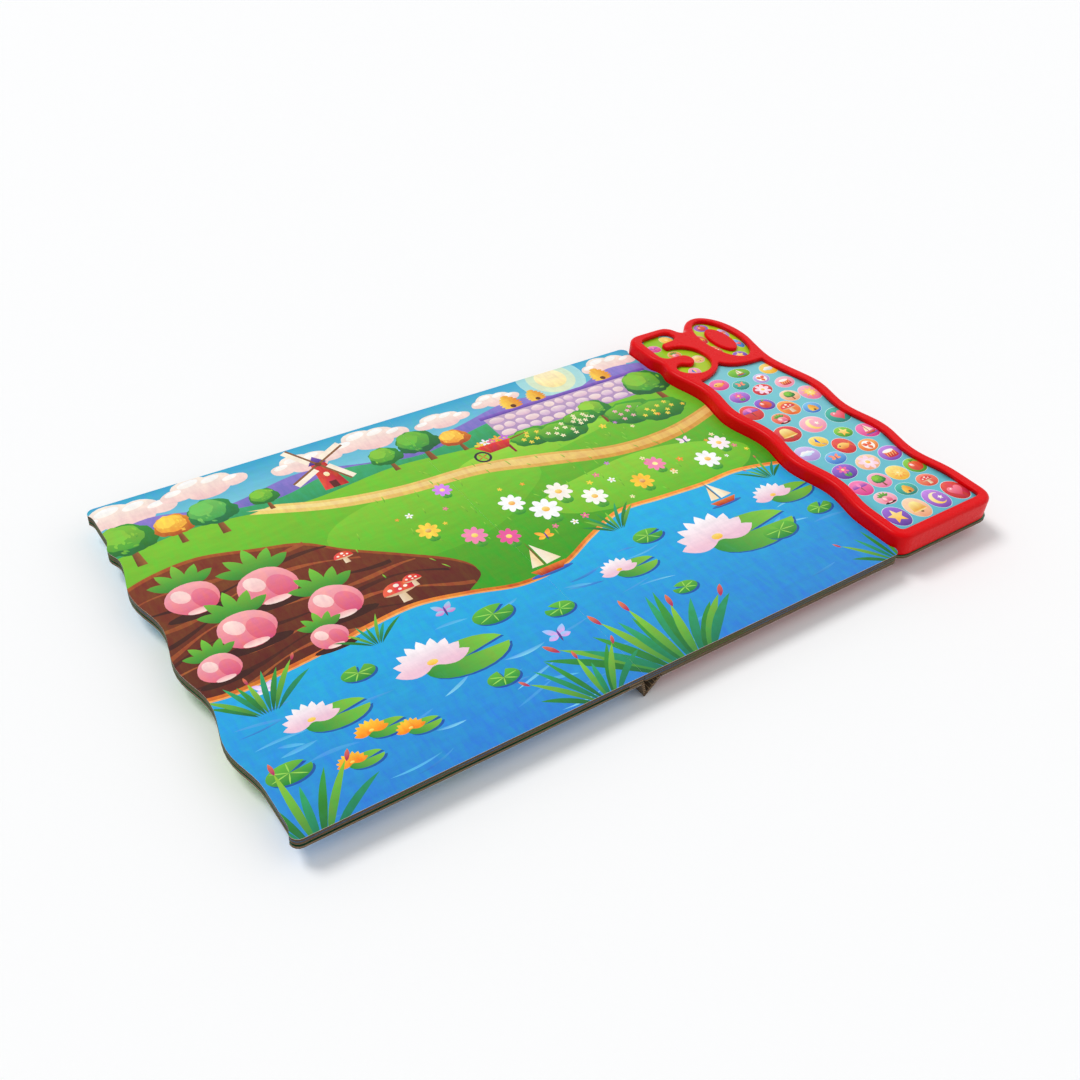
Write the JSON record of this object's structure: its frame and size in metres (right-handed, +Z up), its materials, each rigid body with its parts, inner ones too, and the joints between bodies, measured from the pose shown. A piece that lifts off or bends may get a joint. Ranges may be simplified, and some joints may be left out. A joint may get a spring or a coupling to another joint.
{
  "type": "sound_book",
  "caption": "Open children's sound book: wavy-edged board pages beside a red plastic sound module with a wavy rim, window panels of touch buttons and a moulded number on top",
  "frame": {"origin": "centre of the bounding box, on the surface the book lies on", "axes": "+X to the right across the open pages toward the sound module, +Y away from the reader toward the top of the page, +Z up out of the pages"},
  "size_m": [0.4602, 0.2552, 0.0252],
  "materials": {
    "page_print_right": "coated board with a printed picture",
    "page_print_left": "coated board with a printed picture",
    "cover_print": "coated board, printed outside",
    "red_plastic": "moulded, soft gloss",
    "printed_film": "printed film, raised ovals",
    "clear_sheet": "thin switch sheet",
    "white_sheet": "punched spacer sheet",
    "black_plastic": "moulded, fine grain",
    "zinc_steel": "zinc plated",
    "green_board": "circuit board with solder mask",
    "black_resin": "cast drop",
    "pressed_steel": "pressed",
    "cone_film": "thin formed film",
    "magnet_metal": "plated",
    "spring_steel": "nickel plated strip",
    "cell_steel": "bright can"
  },
  "bodies": {
    "back_half": {"right_pages": "page_print_right", "back_cover": "cover_print", "module_frame": "red_plastic", "zero_island": "red_plastic", "button_film": "printed_film", "switch_sheet_upper": "clear_sheet", "switch_spacer": "white_sheet", "switch_sheet_lower": "clear_sheet", "support_plate": "black_plastic", "module_base": "black_plastic", "battery_door": "black_plastic", "door_screw": "zinc_steel", "circuit_board": "green_board", "chip_resin": "black_resin", "speaker_basket": "pressed_steel", "speaker_cone": "cone_film", "speaker_magnet": "magnet_metal", "contact_plus": "spring_steel", "contact_minus": "spring_steel", "contact_link_lower": "spring_steel", "contact_link_upper": "spring_steel", "case_screw_1": "zinc_steel", "case_screw_2": "zinc_steel", "case_screw_3": "zinc_steel", "case_screw_4": "zinc_steel", "case_screw_5": "zinc_steel", "case_screw_6": "zinc_steel", "case_screw_7": "zinc_steel", "battery_cell_1": "cell_steel", "battery_cell_2": "cell_steel", "battery_cell_3": "cell_steel"},
    "front_half": {"front_cover": "cover_print", "left_pages": "page_print_left"},
    "spine_panel": {"spine_panel": "cover_print"},
    "hinge_strip": {"hinge_strip": "cover_print"}
  },
  "joints": [
    {"name": "book_fold", "type": "hinge", "parent": "back_half", "child": "front_half", "pos_m": [-0.04025, -0.0005, 0.01672], "axis": [0, 1, 0], "range_deg": [0, 180]},
    {"name": "hinge_strip_fold", "type": "hinge", "parent": "back_half", "child": "hinge_strip", "pos_m": [-0.02875, -0.0005, 0.00952], "axis": [0, 1, 0], "range_deg": [0, 46.63]},
    {"name": "spine_fold", "type": "hinge", "parent": "front_half", "child": "spine_panel", "pos_m": [-0.03995, -0.0005, 0.01182], "axis": [0, 1, 0], "range_deg": [-163.05, 0]}
  ],
  "couplings": [
    {"joint": "hinge_strip_fold", "follows": "book_fold", "ratio": 0.259},
    {"joint": "spine_fold", "follows": "book_fold", "ratio": -0.9058}
  ]
}
